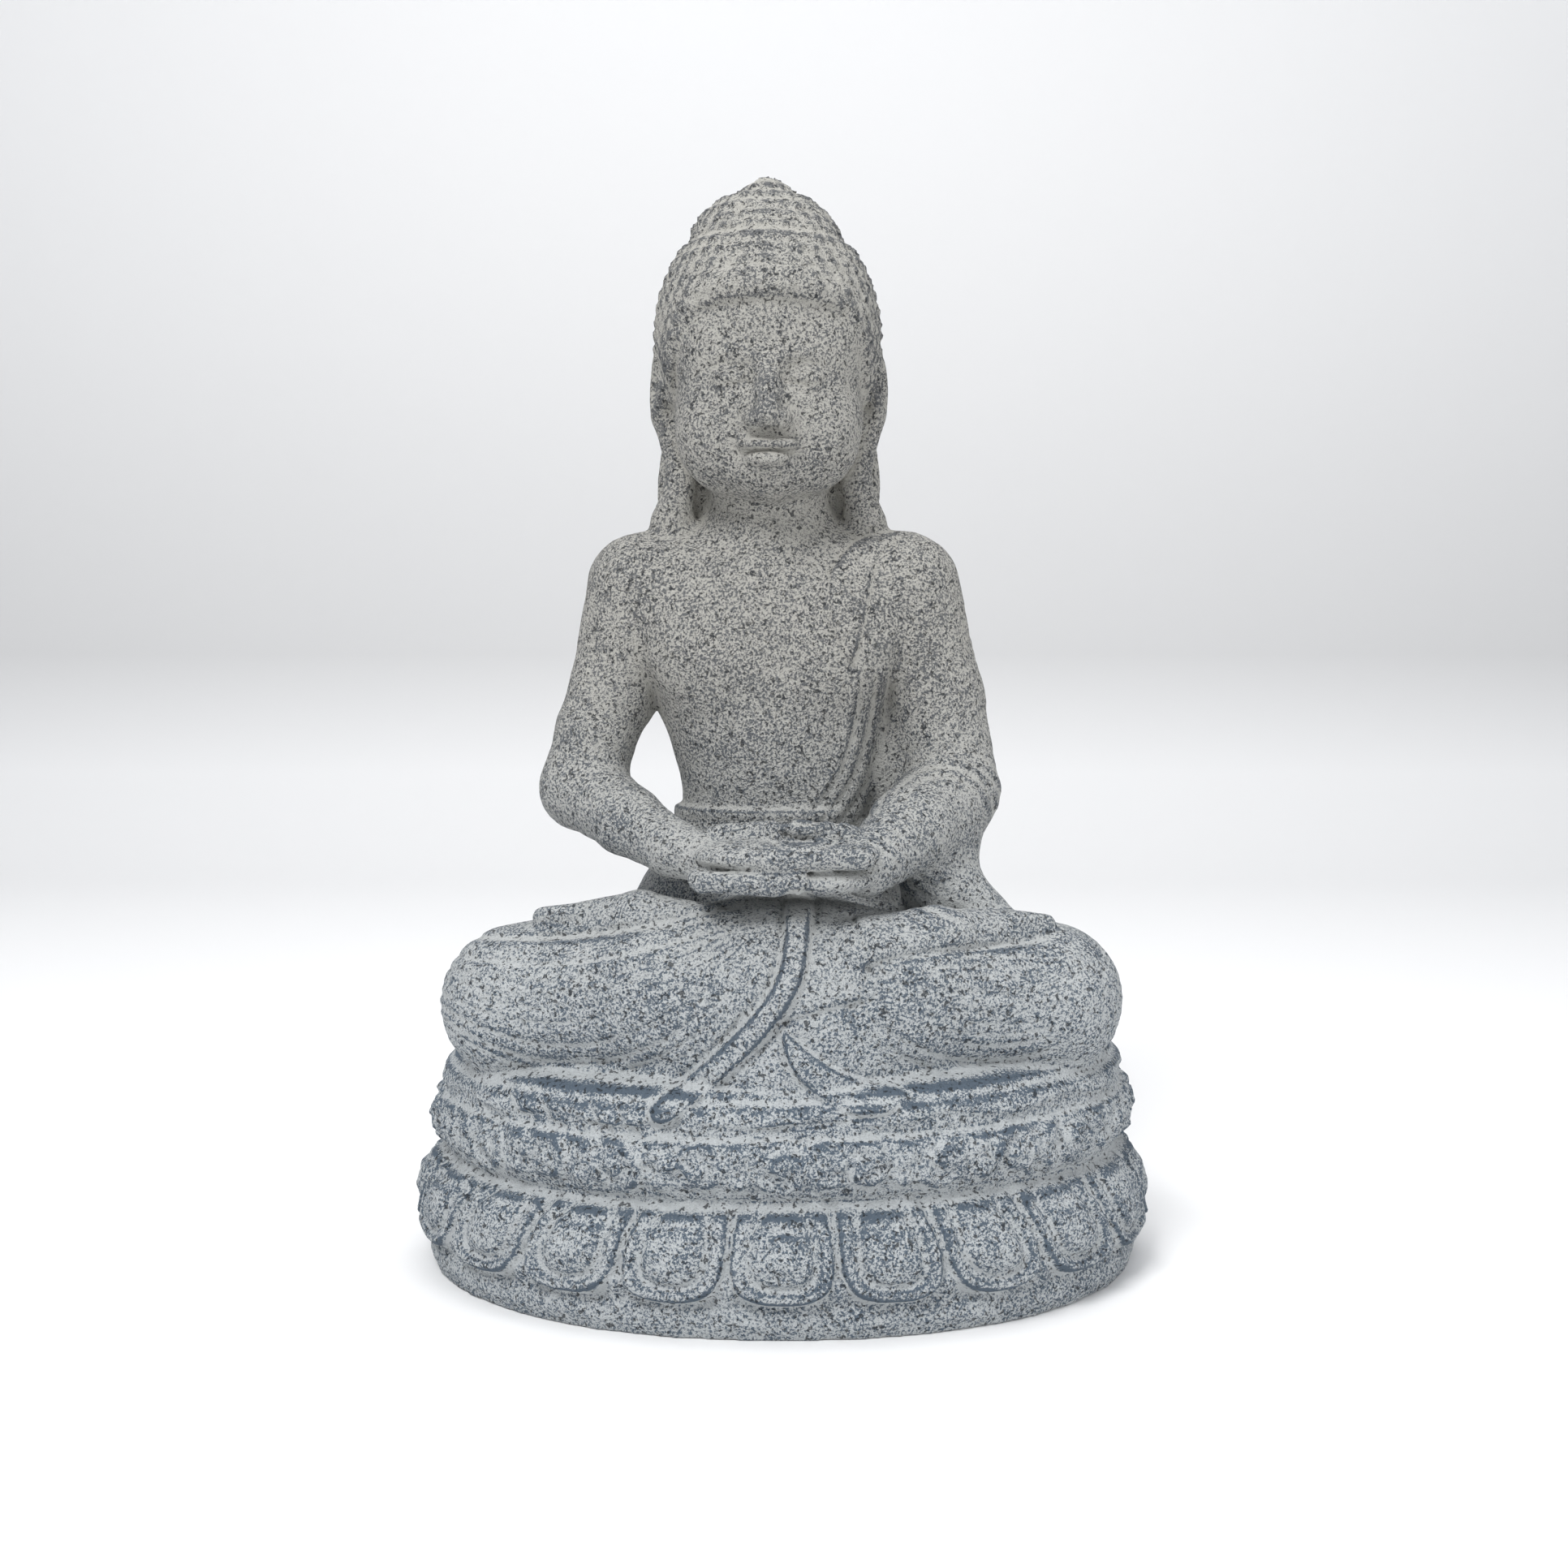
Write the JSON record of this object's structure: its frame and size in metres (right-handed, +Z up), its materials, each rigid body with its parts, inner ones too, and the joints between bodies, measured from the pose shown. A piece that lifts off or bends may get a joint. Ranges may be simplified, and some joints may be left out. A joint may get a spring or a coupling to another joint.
{
  "type": "stone buddha statue",
  "caption": "Seated Buddha in meditation, hands one in the other in the lap, on an oval lotus base, carved from one block of stone.",
  "frame": {"origin": "centre of the flat underside of the base", "axes": "+Z up, the figure faces -Y, +X is towards the figure's left hand"},
  "size_m": [0.4837, 0.3562, 0.7002],
  "materials": {
    "volcanic_stone": "rough, weathered, pale dust in the hollows and dark slate on the worn high places"
  },
  "bodies": {
    "root": {"stone_buddha": "volcanic_stone"}
  },
  "joints": []
}
